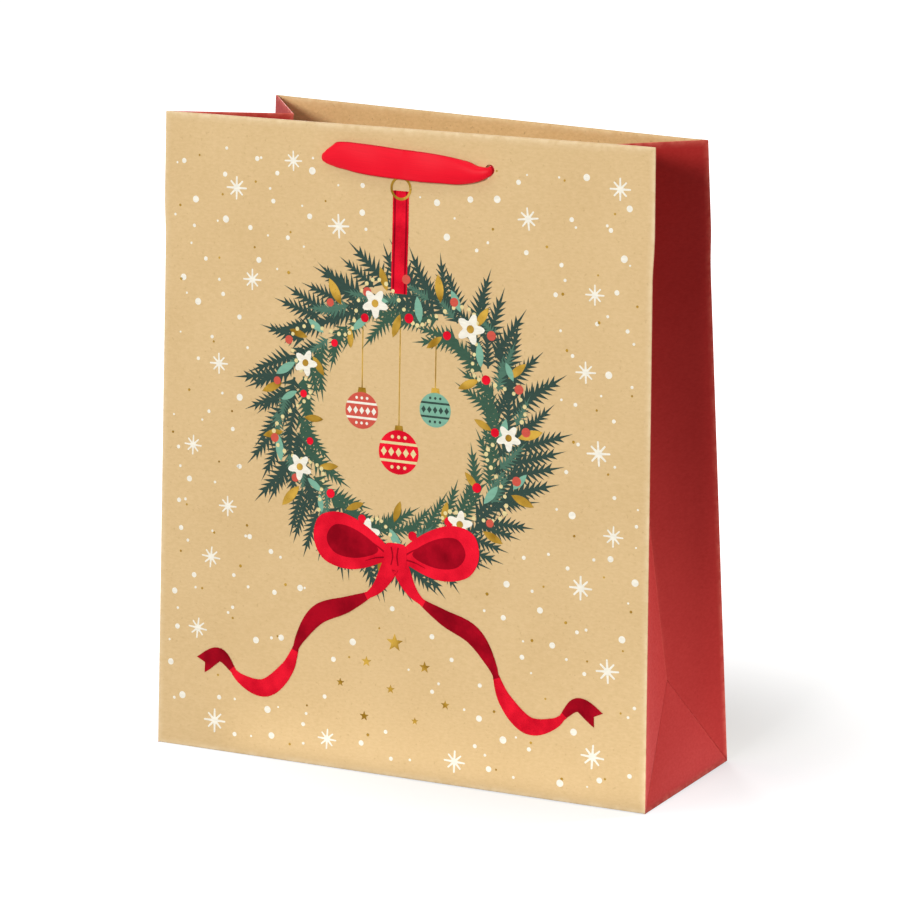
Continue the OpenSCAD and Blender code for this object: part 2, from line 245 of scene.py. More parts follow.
def side_line(wall, side, v):
    """A wall's side edge at shares v up: straight, but let out a little at the stiff band of the mouth."""
    a, b, c, d = walls[wall][0]
    low, top = ((a, d), (b, c))[side]
    edge = low + v[..., None] * (top - low)
    if walls[wall][1 + side][2] == mountain:
        out = flare * ease(v, *flare_band) + (left_slack * v if low[0] < 0 else 0)
        edge = edge + (np.sign(low[0]) * out)[..., None] * np.array([1.0, 0, 0])
    return edge


def face_point(wall, u, v, out=0.0):
    """Points of a wall at shares u across and v up, moved outwards, and its outward direction there."""
    a, b, c, d = walls[wall][0]
    u, v = (np.asarray(x, float) for x in np.broadcast_arrays(u, v))
    left = side_line(wall, 0, v)
    across = side_line(wall, 1, v) - left
    along = (1 - u)[..., None] * (d - a) + u[..., None] * (c - b)
    normal = unit(np.cross(across, along))
    return left + u[..., None] * across + (belly(wall, u, v) + out)[..., None] * normal, normal


def side_fold(wall, side, v):
    """A wall's side edge, and the direction square to it into the face there."""
    a, b, c, d = walls[wall][0]
    along = unit((d - a, c - b)[side])
    edge = side_line(wall, side, v)
    row = side_line(wall, 1 - side, v) - edge
    return edge, row - (row @ along)[:, None] * along


def fold_arc(wall, side, v, share):
    """Half of the rounded fold at a wall's side, from its middle (share 0) to the face (share 1)."""
    other, other_side, (radius, outward) = walls[wall][1 + side]
    edge, into = side_fold(wall, side, v)
    beyond = unit(side_fold(other, other_side, v)[1])
    perpendicular = np.linalg.norm(into, axis=1)
    into = unit(into)
    half = np.arccos(np.clip((into * beyond).sum(1), -1, 1)) / 2
    middle = unit(into + beyond)
    centre = edge + middle * (radius / np.sin(half))[:, None]
    reach = radius / np.tan(half)
    start, end, turn = -middle, (edge + into * reach[:, None] - centre) / radius, np.pi / 2 - half
    ray = np.sin((1 - share) * turn)[:, None] * start + np.sin(share * turn)[:, None] * end
    ray = ray / np.sin(turn)[:, None]
    return centre + radius * ray, outward * ray, reach / perpendicular, perpendicular


def wall_column(wall, side, place, v, out):
    """Points of one column of a wall: on the fold at a side, at a distance from it, or at a share across."""
    if side is None:
        return face_point(wall, place, v, out)[0]
    point, normal, reach, perpendicular = fold_arc(wall, side, v, min(place, 1.0))
    if place <= 1:
        return point + out[:, None] * normal
    u = reach + (place - 1) / perpendicular
    return face_point(wall, 1 - u if side else u, v, out)[0]


near_fold, near_wear = [0.0006, 0.0015, 0.0030], [0.7, 0.3, 0.0]
fold_shares = [0.0, 0.25, 0.5, 0.75, 1.0]
quarter = np.radians(np.linspace(0, 90, 6))
arc_wear = [1.0] * len(quarter)
plain_from = 0.008


def wall_columns(sides, inset, count, low, high):
    """Columns as (side, place, wear): round the folds at those sides, else from an inset, with even ones between."""
    arc = fold_shares + [1 + n for n in near_fold]
    wear = [1.0] * len(fold_shares) + near_wear
    start, end = ([(side, p, w) for p, w in zip(arc, wear)] if side in sides else [(side, 1 + inset, 0.0)]
                  for side in (0, 1))
    between = [(None, low + (high - low) * (k + 1) / (count + 1), 0.0) for k in range(count)]
    return start + between + end[::-1]


def rolled(radius, angles, middle, way=-1):
    """Distance along a column and depth of the two faces of paper that is rolled round a middle."""
    return [np.stack([middle + way * r * np.sin(angles), radius - r * np.cos(angles)])
            for r in (radius, radius - paper_t)]


def straight(distances, depth, thick=paper_t):
    distances = np.asarray(distances, float)
    return [np.stack([distances, np.full_like(distances, d)]) for d in (depth, depth + thick)]


def joined(parts):
    """The outer and the inner line through all parts."""
    return [np.concatenate([part[k] for part in parts], axis=1) for k in (0, 1)]


def wall_path(length, radius, rows, folded_foot):
    """One column of a wall from its foot to the top of the mouth: outer and inner faces, and wear."""
    parts, wear = [], []
    low = length * gusset_end
    if folded_foot:
        ground = bag_h - foot_lift - foot_r
        parts = [rolled(foot_r, quarter[::-1], ground, 1), straight([ground - n for n in near_fold], 0)]
        wear = arc_wear + near_wear
        low = bag_h - plain_from
    parts += [straight(np.linspace(low, plain_from, rows), 0), straight([radius + n for n in near_fold[::-1]], 0),
              rolled(radius, quarter, radius)]
    return joined(parts), wear + [0.0] * rows + near_wear[::-1] + arc_wear


def turned_path(radius, height):
    """One column of the edge that is turned in, from the top of the mouth down to its cut edge."""
    plain_rows, cut_wear = 12, 0.6
    down = [radius + n for n in near_fold] + list(np.linspace(plain_from, height, plain_rows))
    parts = [rolled(radius, np.pi / 2 + quarter, radius), straight(down, 2 * radius, -paper_t)]
    return joined(parts), arc_wear + near_wear + [0.0] * (plain_rows - 1) + [cut_wear]


def column_length(wall, side, place):
    a, b, c, d = walls[wall][0]
    share = side if side is not None else place
    return (1 - share) * np.linalg.norm(d - a) + share * np.linalg.norm(c - b)


def mesh_object(name, points, faces, materials, indices=None, wear=None):
    mesh = bpy.data.meshes.new(name)
    mesh.from_pydata([tuple(p) for p in points], [], faces)
    for material in materials:
        mesh.materials.append(material)
    if indices is not None:
        mesh.polygons.foreach_set("material_index", indices)
    if wear is not None:
        mesh.attributes.new("wear", "FLOAT", "POINT").data.foreach_set("value", np.asarray(wear, np.float32))
    return put_in_scene(name, mesh)


def smooth(obj, sharp_degrees=50):
    obj.data.polygons.foreach_set("use_smooth", [True] * len(obj.data.polygons))
    obj.data.set_sharp_from_angle(angle=math.radians(sharp_degrees))
    return obj


def closed_sheet(name, outer, inner, materials, wear=None, rim_material=1):
    """A closed sheet between two grids of points [column][row], with the columns to the right seen from outside."""
    columns, rows = outer.shape[:2]
    count = columns * rows
    faces, indices = [], []
    for c in range(columns - 1):
        for r in range(rows - 1):
            k = c * rows + r
            quad = (k, k + rows, k + rows + 1, k + 1)
            faces += [quad, tuple(count + q for q in quad[::-1])]
            indices += [0, 1]
    rim = [c * rows for c in range(columns - 1)] + [(columns - 1) * rows + r for r in range(rows - 1)]
    rim += [c * rows + rows - 1 for c in range(columns - 1, 0, -1)] + list(range(rows - 1, 0, -1))
    for a, b in zip(rim, rim[1:] + rim[:1]):
        faces.append((b, a, a + count, b + count))
        indices.append(rim_material)
    points = np.concatenate([outer.reshape(-1, 3), inner.reshape(-1, 3)])
    wear = None if wear is None else np.tile(np.asarray(wear).reshape(-1), 2)
    return smooth(mesh_object(name, points, faces, materials, indices, wear))


def paper(name, wall, columns, path, materials, rim_material=1):
    """A layer of the sheet: path gives each column's outer and inner line and its wear."""
    outer, inner, wears = [], [], []
    for side, place, fold_wear in columns:
        length = column_length(wall, side, place)
        lines, wear = path(side, place, length)
        for grid, (below, depth) in zip((outer, inner), lines):
            grid.append(wall_column(wall, side, place, 1 - below / length, -depth))
        wears.append(np.maximum(fold_wear, wear))
    return closed_sheet(name, np.array(outer), np.array(inner), materials, np.array(wears), rim_material)


def mouth_radius(side, place):
    """The turned edge is thick over the card, and closes up to two layers of paper at the corners."""
    from_corner = min(place, 1 - place) * bag_w if side is None else max(place - 1, 0)
    return single_r + (stack_r - single_r) * float(ease(np.array(from_corner), *corner_band))


def baked(obj):
    """The object's modifiers made into plain mesh."""
    bpy.context.view_layer.update()
    mesh = bpy.data.meshes.new_from_object(obj.evaluated_get(bpy.context.evaluated_depsgraph_get()))
    obj.modifiers.clear()
    obj.data = mesh
    return obj


def hole_at(wall, side):
    """The middle of a handle hole, and the wall's outward direction there."""
    return face_point(wall, 0.5 + (hole_shift + side * hole_span / 2) / bag_w, hole_v)


def punch(obj, wall):
    """The two handle holes, cut square to the wall."""
    for side in (-1, 1):
        centre, normal = hole_at(wall, side)
        bpy.ops.mesh.primitive_cylinder_add(vertices=40, radius=hole_d / 2, depth=0.012)
        cutter = bpy.context.active_object
        cutter.matrix_world = (Matrix.Translation(Vector(centre))
                               @ Vector(normal).to_track_quat("Z", "Y").to_matrix().to_4x4())
        cut = obj.modifiers.new("hole", "BOOLEAN")
        cut.operation, cut.solver, cut.object = "DIFFERENCE", "EXACT", cutter
        baked(obj)
        bpy.data.objects.remove(cutter)
    return smooth(obj)


def fasten(obj, body, node):
    """The piece rides on a body and stands for a node of the part."""
    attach(obj, body)
    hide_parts(node)


def on_walls(label, node, columns, path, materials):
    """A layer of the front and one of the back, each punched and fixed to its wall."""
    for wall in ("front", "back"):
        piece = punch(paper(f"{wall}_{label}", wall, columns, path, materials), wall)
        fasten(piece, wall, f"{wall}_{node}")


def srgb(seen):
    """A colour as it is seen, from 0 to 255, as the shader takes it."""
    return tuple(c / 255 / 12.92 if c <= 10 else ((c / 255 + 0.055) / 1.055) ** 2.4 for c in seen) + (1,)


def noise(tree, place, scale, detail, roughness=0.5):
    return add(tree, "ShaderNodeTexNoise", {"Vector": place, "Scale": scale, "Detail": detail,
                                            "Roughness": roughness}).outputs["Fac"]


def stretched(tree, place, scale):
    return add(tree, "ShaderNodeMapping", {"Vector": place, "Scale": scale}).outputs[0]


def mixed(tree, share, first, second):
    return add(tree, "ShaderNodeMix", {0: share, 6: first, 7: second}, data_type="RGBA").outputs[2]


def new_material(name):
    material = bpy.data.materials.new(name)
    material.use_nodes = True
    return material, material.node_tree


def coat(tree, colour, roughness, relief, strength, depth, constants):
    """The shader of a finish, from its colour, roughness and relief."""
    bump = add(tree, "ShaderNodeBump", {"Height": relief, "Strength": strength, "Distance": depth}).outputs[0]
    shader = tree.nodes["Principled BSDF"].inputs
    for label, socket in (("Base Color", colour), ("Roughness", roughness), ("Normal", bump)):
        tree.links.new(socket, shader[label])
    for label, value in constants.items():
        shader[label].default_value = value


def paper_finish(name, light, dark, fleck, worn, rough, specular, fleck_share):
    """Paper: long fibres, flecks, a cloudy look through, and fibres laid bare along the folds."""
    material, tree = new_material(name)
    place = object_place(tree)
    fibre = noise(tree, stretched(tree, place, (420, 420, 900)), 1.0, 5.0, 0.65)
    cloud, speck = noise(tree, place, 22.0, 3.0, 0.55), noise(tree, place, 620.0, 2.0)
    tone = maths(tree, "MULTIPLY_ADD", cloud, 0.35, maths(tree, "MULTIPLY", fibre, 0.65))
    ground = mixed(tree, remap(tree, tone, 0.36, 0.64), srgb(light), srgb(dark))
    flecked = mixed(tree, remap(tree, speck, 0.66, 0.74, 0.0, fleck_share), ground, srgb(fleck))
    wear = add(tree, "ShaderNodeAttribute", attribute_name="wear").outputs["Fac"]
    bare = remap(tree, noise(tree, place, 260.0, 3.0), 0.35, 0.68, 0.25, 0.9)
    colour = mixed(tree, maths(tree, "MULTIPLY", wear, bare), flecked, srgb(worn))
    gloss = remap(tree, fibre, 0.3, 0.7, rough - 0.06, rough + 0.06)
    relief = maths(tree, "MULTIPLY_ADD", speck, 0.5, fibre)
    coat(tree, colour, gloss, relief, 0.16, 0.0001, {"Specular IOR Level": specular})
    return material


printed_kraft = paper_finish("printed_kraft", (227, 195, 144), (217, 184, 132), (184, 146, 94), (240, 214, 172),
                             0.62, 0.25, 0.3)
plain_kraft = paper_finish("plain_kraft", (220, 184, 130), (204, 166, 112), (150, 112, 66), (228, 198, 150),
                           0.78, 0.20, 0.5)
on_walls("wall", "panel", wall_columns((0, 1), 0, 44, 0.02, 0.98),
         lambda side, place, length: wall_path(length, mouth_radius(side, place), 46, True),
         (printed_kraft, plain_kraft))


# Turned edge of the front and the back
# The same sheet, carried on over the top of the walls and down inside the mouth, where its printed side is bare
# kraft. It is glued over a strip of grey card that takes the pull of the handles, and is punched with the wall.
turned_h = 0.040
on_walls("turned_edge", "hem", wall_columns((), 0.0034, 44, 0.02, 0.98),
         lambda side, place, length: turned_path(mouth_radius(side, place), turned_h), (plain_kraft, plain_kraft))


# Gussets
# The narrow sides of the same sheet, printed red outside and kraft inside. Each folds in at its middle, and its
# halves bend between the base and the wall beside them. A triangle at its foot stays on the base.
red_paper = paper_finish("red_paper", (187, 52, 48), (175, 44, 41), (150, 29, 28), (222, 112, 96), 0.58, 0.06, 0.25)
middle_fold_wear = 0.15
# Each half with the wall it joins, the side of that fold, and the top of the foot
halves = {
    "right_front": ("front", 0, right_apex), "right_rear": ("back", 1, right_apex),
    "left_front": ("front", 1, left_apex), "left_rear": ("back", 0, left_apex),
}


def bend_with(obj, node):
    """The half keeps its place, baked into its mesh, and stands for a node of the part."""
    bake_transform(obj)
    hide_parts(node)


for wall, (body, wall_side, apex) in halves.items():
    columns = [(side, place, worn if side == wall_side else middle_fold_wear * worn)
               for side, place, worn in wall_columns((0, 1), 0, 16, 0.07, 0.93)]
    half = paper(wall + "_gusset", wall, columns,
                 lambda side, place, length: wall_path(length, single_r, 44, False), (red_paper, plain_kraft), 0)
    bend_with(half, wall.replace("_", "_gusset_"))
    turned = paper(wall + "_turned_edge", wall, wall_columns((1 - wall_side,), 0.003, 12, 0.1, 0.9),
                   lambda side, place, length: turned_path(single_r, turned_h), (red_paper, plain_kraft))
    bend_with(turned, wall.replace("_", "_hem_"))

# The factor of 27 brings the fullest point of the foot's puff to 1
foot_puff, foot_rows, puff_full = 0.0007, 26, 27
foot_shares = np.concatenate([[0, 0.006, 0.015, 0.03], np.linspace(0.06, 0.94, 18), [0.97, 0.985, 0.994, 1]])
for side, a, b, apex in (("right", base_fr, base_br, right_apex), ("left", base_bl, base_fl, left_apex)):
    normal = unit(np.cross(b - a, apex - a))
    rise = np.linalg.norm(apex - (a + b) / 2)
    up_foot = np.concatenate([[foot_r + n for n in near_fold], np.linspace(0.006, rise * 0.992, foot_rows)])
    grids = []
    for height, depth in joined([rolled(foot_r, quarter[::-1], foot_lift + foot_r), straight(up_foot, 0)]):
        v = np.clip(height / rise, 0, 1)[None, :, None]
        s = foot_shares[:, None, None]
        puff = foot_puff * puff_full * v * (1 - v) ** 2 * s * (1 - s)
        grids.append((1 - v) * ((1 - s) * a + s * b) + v * apex + (puff - depth[None, :, None]) * normal)
    wear = np.maximum(np.interp(foot_shares, [0, 0.03, 0.97, 1], [0.12, 0, 0, 0.12])[:, None],
                      np.array(arc_wear + near_wear + [0.0] * foot_rows)[None, :])
    foot = closed_sheet(side + "_foot", *grids, (red_paper, plain_kraft), wear, 0)
    fasten(foot, "base", side + "_gusset_foot")


# Glue strip at the rear left corner
# The end of the sheet, bent round the corner and glued to the inside of the back, which closes the tube.
# Its long edge inside the bag is cut and shows a little wear.
strip_w, strip_inset, strip_low, strip_rows = 0.018, 0.003, 0.0027, 46
glue_t = 0.0001
strip_edge = [1 - (strip_inset + strip_w * k / 8) / bag_w for k in range(8, -1, -1)]
strip = paper("glue_strip", "back", [(None, u, 0.6 * (k == 0)) for k, u in enumerate(strip_edge)],
              lambda side, place, length: (
                  straight(np.linspace(length - strip_low, turned_h + paper_t, strip_rows), paper_t + glue_t),
                  [0.0] * strip_rows),
              (plain_kraft, plain_kraft))
fasten(strip, "back", "side_seam_flap")


# Card strips in the mouth
# Grey card, glued between each wall and its turned edge, just below the rounded top. It takes the pull of the handles
# and is punched with the wall.
grey_card = paper_finish("grey_card", (176, 171, 160), (152, 147, 138), (104, 98, 92), (190, 186, 178),
                         0.86, 0.12, 0.7)
card_h, card_t, card_inset, card_drop, card_rows = 0.036, 0.001, 0.0075, 0.0007, 10
card_path = straight(np.linspace(card_h, card_drop, card_rows), paper_t + glue_t, card_t), [0.0] * card_rows
on_walls("card", "top_card", wall_columns((), card_inset, 30, 0.04, 0.96),
         lambda side, place, length: card_path, (grey_card, grey_card))


# Base flaps and loose board
# Four flaps of the sheet lap under the bag and are glued: two long ones of printed kraft, and a red one at each
# side. A loose grey board lies on them and keeps the base flat.
for name, finish in (("base_board", grey_card),
                     ("base_front_flap", printed_kraft), ("base_rear_flap", printed_kraft),
                     ("left_base_flap", red_paper), ("right_base_flap", red_paper)):
    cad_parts[name].data.materials.clear()
    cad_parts[name].data.materials.append(finish)


# Wreath and bow printed on the walls
# A hanging wreath of fir sprigs, leaves, berries, blossoms and beads in ink and gold foil, with baubles inside it and
# a long bow of red foil below. The front and the back carry the same print.
film, layer, print_cell = 0.00006, 0.000006, 0.004


def ink(name, full):
    """Printing ink: the paper's fibres show through it a little."""
    material, tree = new_material(name)
    fibre = noise(tree, stretched(tree, object_place(tree), (300, 300, 1100)), 1.0, 4.0)
    spread = remap(tree, fibre, 0.3, 0.7)
    thin = tuple(c * 0.86 for c in srgb(full)[:3]) + (1,)
    colour = mixed(tree, spread, srgb(full), thin)
    coat(tree, colour, remap(tree, spread, 0.0, 1.0, 0.54, 0.66), fibre, 0.2, 0.0001, {"Specular IOR Level": 0.3})
    return material


def foil(name, light, dark, rough):
    """Hot-stamped metal foil, pressed into the paper: it mirrors softly and keeps the paper's unevenness."""
    material, tree = new_material(name)
    wave, grain = (noise(tree, object_place(tree), scale, detail) for scale, detail in ((90.0, 2.0), (900.0, 3.0)))
    colour = mixed(tree, remap(tree, wave, 0.35, 0.65), srgb(light), srgb(dark))
    gloss = remap(tree, grain, 0.3, 0.7, rough - 0.08, rough + 0.08)
    coat(tree, colour, gloss, maths(tree, "MULTIPLY_ADD", wave, 3.0, grain), 0.35, 0.0003, {"Metallic": 1.0})
    return material


def flat_mesh(name, shapes, materials, thick=layer):
    """Thin solids lying flat: each shape is an anticlockwise outline, its level in the print and its material."""
    points, faces, indices = [], [], []
    for outline, level, finish in shapes:
        start, count = len(points), len(outline)
        points += [(x, y, height * thick) for height in (level, level + 1) for x, y in outline]
        faces.append(tuple(range(start + count, start + 2 * count)))
        faces.append(tuple(range(start + count - 1, start - 1, -1)))
        for k in range(count):
            a, b = start + k, start + (k + 1) % count
            faces.append((a, b, b + count, a + count))
        indices += [materials.index(finish)] * (count + 2)
    return mesh_object(name, points, faces, materials, indices)


def print_on_walls(label, flat, lift=film / 2):
    """A flat print, cut fine and laid on both walls: x across from the middle, y up from the foot, z outwards."""
    flat.data.transform(Matrix.Translation((0, 0, lift)))
    fine = bmesh.new()
    fine.from_mesh(flat.data)
    bmesh.ops.triangulate(fine, faces=fine.faces)
    while wide := [e for e in fine.edges if e.calc_length() > print_cell]:
        bmesh.ops.subdivide_edges(fine, edges=wide, cuts=1)
        bmesh.ops.triangulate(fine, faces=fine.faces)
    fine.to_mesh(flat.data)
    fine.free()
    co = np.empty(len(flat.data.vertices) * 3)
    flat.data.vertices.foreach_get("co", co)
    x, y, z = co.reshape(-1, 3).T
    for wall in ("front", "back"):
        piece = put_in_scene(f"{wall}_{label}", flat.data.copy())
        piece.data.vertices.foreach_set("co", face_point(wall, x / bag_w + 0.5, y / bag_h, z)[0].ravel())
        piece.data.update()
        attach(piece, wall)
    bpy.data.objects.remove(flat)


def new_tree(name, **sockets):
    """A geometry tree with named inputs, listed by kind, and its input sockets."""
    tree = bpy.data.node_groups.new(name, "GeometryNodeTree")
    tree.interface.new_socket("Geometry", in_out="INPUT", socket_type="NodeSocketGeometry")
    for kind, labels in sockets.items():
        for label in labels:
            tree.interface.new_socket(label, in_out="INPUT", socket_type="NodeSocket" + kind)
    tree.interface.new_socket("Geometry", in_out="OUTPUT", socket_type="NodeSocketGeometry")
    return tree, tree.nodes.new("NodeGroupInput").outputs


def chance(tree, given, low, high, offset):
    """A random number for each point."""
    own_seed = maths(tree, "ADD", given["Seed"], float(offset))
    return add(tree, "FunctionNodeRandomValue", {2: low, 3: high, 8: own_seed}, data_type="FLOAT").outputs[1]


def vector(tree, *parts):
    return add(tree, "ShaderNodeCombineXYZ", dict(enumerate(parts))).outputs[0]


def set_on(tree, points, shape, turn, size):
    """A copy of a flat shape on each point, turned and sized in its own plane."""
    return add(tree, "GeometryNodeInstanceOnPoints",
               {"Points": points, "Instance": shape, "Rotation": vector(tree, 0.0, 0.0, turn),
                "Scale": vector(tree, size, size, 1.0)}).outputs[0]


def given_shape(tree, given):
    return add(tree, "GeometryNodeObjectInfo", {"Object": given["Shape"]}).outputs["Geometry"]


def close_tree(tree, given, instances):
    real = add(tree, "GeometryNodeRealizeInstances", {"Geometry": instances})
    inked = add(tree, "GeometryNodeSetMaterial", {"Geometry": real.outputs[0], "Material": given["Ink"]})
    add(tree, "NodeGroupOutput", {"Geometry": inked.outputs[0]})


def grown(name, points, tree, **values):
    """What a tree grows on a set of points, as a plain mesh."""
    obj = mesh_object(name, points, [], ())
    modifier = obj.modifiers.new(tree.name, "NODES")
    modifier.node_group = tree
    sockets = {s.name: s.identifier for s in tree.interface.items_tree if s.in_out == "INPUT"}
    for label, value in values.items():
        modifier[sockets[label]] = value
    return baked(obj)


def print_copies(label, outline, finish, tree, points, level=0, thick=layer, lift=film / 2, **values):
    """Copies of one flat shape, set by a tree and laid on both walls."""
    shape = flat_mesh("shape", [(outline, level, finish)], (finish,), thick)
    flat = grown("flat_" + label, points, tree, Shape=shape, Ink=finish, **values)
    bpy.data.objects.remove(shape)
    print_on_walls(label, flat, lift)


spot_tree, given = new_tree("shapes_on_points", Object=("Shape",), Float=("Small", "Large"), Int=("Seed",),
                            Material=("Ink",))
spot_turn = chance(spot_tree, given, -0.12, 0.12, 1)
spot_size = chance(spot_tree, given, given["Small"], given["Large"], 2)
close_tree(spot_tree, given,
           set_on(spot_tree, given["Geometry"], given_shape(spot_tree, given), spot_turn, spot_size))

ring_tree, given = new_tree(
    "shapes_round_ring", Object=("Shape",), Vector=("Centre",), Int=("Count", "Seed"), Material=("Ink",),
    Float=("Ring", "Stray", "Lean", "Sway", "Small", "Large", "Low", "High"))
circle = add(ring_tree, "GeometryNodeMeshCircle", {"Vertices": given["Count"], "Radius": given["Ring"]})
stray_low, sway_low = (maths(ring_tree, "MULTIPLY", given[label], -1.0) for label in ("Stray", "Sway"))
stray = vector(ring_tree, chance(ring_tree, given, stray_low, given["Stray"], 1),
               chance(ring_tree, given, stray_low, given["Stray"], 2),
               chance(ring_tree, given, given["Low"], given["High"], 3))
strewn = add(ring_tree, "GeometryNodeSetPosition", {"Geometry": circle.outputs[0], "Offset": stray})
spot = add(ring_tree, "ShaderNodeSeparateXYZ", {0: add(ring_tree, "GeometryNodeInputPosition").outputs[0]}).outputs
bearing = maths(ring_tree, "ARCTAN2", spot[1], spot[0])
ring_turn = maths(ring_tree, "ADD", maths(ring_tree, "SUBTRACT", bearing, given["Lean"]),
                  chance(ring_tree, given, sway_low, given["Sway"], 4))
ring_size = chance(ring_tree, given, given["Small"], given["Large"], 5)
ring_set = set_on(ring_tree, strewn.outputs[0], given_shape(ring_tree, given), ring_turn, ring_size)
ring_hung = add(ring_tree, "GeometryNodeTransform", {"Geometry": ring_set, "Translation": given["Centre"]})
close_tree(ring_tree, given, ring_hung.outputs[0])


def polar(radius, angle, x=0.0, y=0.0):
    """The point at a distance and an angle from a place."""
    return x + radius * math.cos(angle), y + radius * math.sin(angle)


def disc_outline(x, y, radius, sides):
    return [polar(radius, 2 * math.pi * k / sides, x, y) for k in range(sides)]


def both_sides(side):
    """An outline up one side of the upright and down the other."""
    return side + [(-x, y) for x, y in side[::-1] if x]


def sprig_outline(length, spread, needles, stem):
    """A fir sprig: needles up one side, the tip, and down the other."""
    side = [(stem, 0)]
    for along in (k / needles for k in range(needles)):
        side.append((stem, length * (0.05 + 0.78 * along)))
        side.append((spread * (1 - 0.72 * along), length * (0.24 + 0.80 * along)))
    return both_sides(side + [(stem, length * 0.86), (0, length * 1.16)])


def leaf_outline(length, width, steps):
    side = [(width * math.sin(math.pi * k / steps) ** 0.8, length * k / steps) for k in range(1, steps)]
    return both_sides([(0, 0)] + side + [(0, length)])


def blossom_outline(radius, petals, steps):
    return [polar(radius * (0.76 + 0.24 * math.cos(petals * a)), a)
            for a in (2 * math.pi * k / steps for k in range(steps))]


cream_ink = ink("cream_ink", (255, 249, 232))
deep_green = ink("deep_green_ink", (30, 58, 48))
mid_green = ink("mid_green_ink", (44, 80, 60))
grey_green = ink("grey_green_ink", (72, 112, 92))
mint_ink = ink("mint_ink", (128, 182, 156))
coral_ink = ink("coral_ink", (214, 84, 66))
straw_ink = ink("straw_ink", (240, 222, 160))
gold_foil = foil("gold_foil", (186, 148, 62), (132, 98, 28), 0.34)
red_foil = foil("red_foil", (214, 24, 44), (184, 14, 34), 0.30)
dark_red_foil = foil("dark_red_foil", (150, 10, 28), (118, 6, 20), 0.36)
wreath_y, ring_r = 0.172, 0.057
sprig = sprig_outline(0.023, 0.0068, 7, 0.0006)
leaf = leaf_outline(0.0125, 0.0021, 7)
berry = disc_outline(0, 0, 0.0024, 14)
blossom, heart = blossom_outline(0.0072, 5, 40), disc_outline(0, 0, 0.0019, 12)
# Name, outline, distance off the ring, count, stray, lean, sway, size from and to, levels from and to, seed, finish
for label, outline, off, count, astray, lean, sway, small, large, low, high, seed, finish in (
        ("sprigs_outer", sprig, 0.006, 54, 0.003, 0.95, 0.30, 0.85, 1.10, 1, 8, 3, deep_green),
        ("sprigs_inner", sprig, -0.004, 50, 0.003, -0.55, 0.30, 0.75, 0.95, 3, 10, 5, mid_green),
        ("sprigs_middle", sprig, 0.001, 52, 0.005, 0.25, 0.45, 0.75, 1.05, 9, 17, 8, deep_green),
        ("sprigs_pale", sprig, 0.002, 26, 0.007, 0.40, 0.55, 0.55, 0.75, 16, 20, 12, grey_green),
        ("gold_leaves_out", leaf, 0.007, 15, 0.003, 1.20, 0.45, 0.80, 1.15, 21, 23, 15, gold_foil),
        ("gold_leaves_in", leaf, -0.007, 12, 0.003, -1.20, 0.45, 0.75, 1.00, 21, 23, 18, gold_foil),
        ("mint_leaves", leaf, 0.0, 19, 0.010, 0.50, 0.90, 0.70, 1.05, 23, 25, 21, mint_ink),
        ("berries_out", berry, 0.009, 17, 0.003, 0.0, 0.0, 0.80, 1.05, 29, 30, 24, coral_ink),
        ("berries_in", berry, -0.006, 13, 0.004, 0.0, 0.0, 0.75, 1.00, 29, 30, 27, red_foil),
        ("blossoms", blossom, 0.001, 7, 0.003, 0.0, 0.6, 0.85, 1.10, 32, 33, 31, cream_ink),
        ("blossom_hearts", heart, 0.001, 7, 0.003, 0.0, 0.6, 0.85, 1.10, 35, 36, 31, gold_foil)):
    print_copies("wreath_" + label, outline, finish, ring_tree, [(0, 0, 0)], Centre=(0.0, wreath_y, 0.0),
                 Ring=ring_r + off, Count=count, Stray=astray, Lean=lean, Sway=sway, Small=small, Large=large,
                 Low=low * layer, High=high * layer, Seed=seed)

bead_count, bead_waves, bead_swing, bead_level = 120, 8, 0.010, 27
bead_points = []
for angle in (2 * math.pi * k / bead_count for k in range(bead_count)):
    reach = ring_r + 0.001 + bead_swing * math.sin(bead_waves * angle)
    bead_points.append(polar(reach, angle, 0, wreath_y) + (bead_level * layer,))
print_copies("wreath_beads", disc_outline(0, 0, 0.00105, 10), straw_ink, spot_tree, bead_points,
             Small=0.85, Large=1.1, Seed=2)


def spline(knots, steps):
    """A smooth line through the knots."""
    knots = np.asarray(knots, float)
    padded = np.vstack([2 * knots[0] - knots[1], knots, 2 * knots[-1] - knots[-2]])
    line = []
    for p0, p1, p2, p3 in zip(padded, padded[1:], padded[2:], padded[3:]):
        for t in np.arange(steps) / steps:
            line.append(0.5 * (2 * p1 + (p2 - p0) * t + (2 * p0 - 5 * p1 + 4 * p2 - p3) * t ** 2
                               + (3 * p1 - p0 - 3 * p2 + p3) * t ** 3))
    return np.array(line + [knots[-1]])


def loop_outline(knots, steps):
    """A smooth closed outline through the knots, anticlockwise."""
    knots = np.asarray(knots, float)
    line = spline(np.vstack([knots[-2:], knots, knots[:2]]), steps)[2 * steps:-1 - steps]
    x, y = line.T
    area = (x * np.roll(y, -1) - y * np.roll(x, -1)).sum()
    return [tuple(p) for p in (line if area > 0 else line[::-1])]


def band_outline(line, widths):
    """The outline of a band along a line."""
    line, widths = np.asarray(line, float), np.broadcast_to(widths, len(line))
    along = unit(np.gradient(line, axis=0))
    aside = np.stack([-along[:, 1], along[:, 0]], axis=1) * (widths / 2)[:, None]
    return [tuple(p) for p in np.vstack([line - aside, (line + aside)[::-1]])]


# Baubles on threads, with a cap, two stripes, a row of diamonds and dots
bauble_inks = (coral_ink, mint_ink, straw_ink, gold_foil, cream_ink, red_foil, deep_green)
thread_w, cap_w = 0.0006, 0.0048
baubles = []
